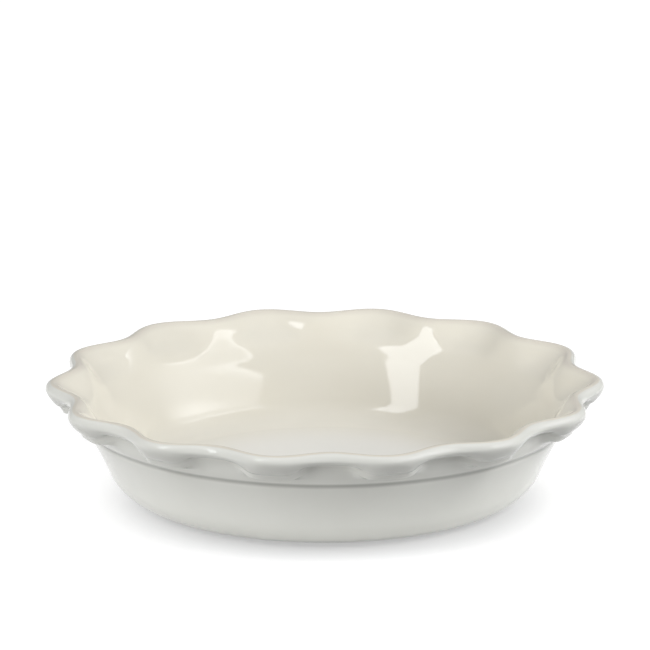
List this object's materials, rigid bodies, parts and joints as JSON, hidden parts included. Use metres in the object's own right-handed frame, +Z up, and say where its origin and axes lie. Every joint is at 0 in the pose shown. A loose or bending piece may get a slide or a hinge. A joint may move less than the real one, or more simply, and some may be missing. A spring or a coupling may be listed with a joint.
{
  "type": "pie dish",
  "caption": "Round fluted pie dish with flared sides, a ruffled rounded lip, a flat floor and a bare foot ring, glazed cream inside and off-white outside.",
  "frame": {"origin": "centre of the plane that the foot ring stands on", "axes": "+Z up along the dish's axis; +X through the middle of a lobe of the rim, +Y through a valley between two lobes"},
  "size_m": [0.272, 0.2662, 0.0554],
  "materials": {
    "fired_clay": "matte, bare fired stoneware",
    "off_white_glaze": "gloss, cool off-white glaze",
    "cream_glaze": "gloss, warm cream glaze"
  },
  "bodies": {
    "root": {"stoneware_body": "fired_clay", "exterior_glaze": "off_white_glaze", "interior_glaze": "cream_glaze", "underside_glaze": "off_white_glaze"}
  },
  "joints": []
}
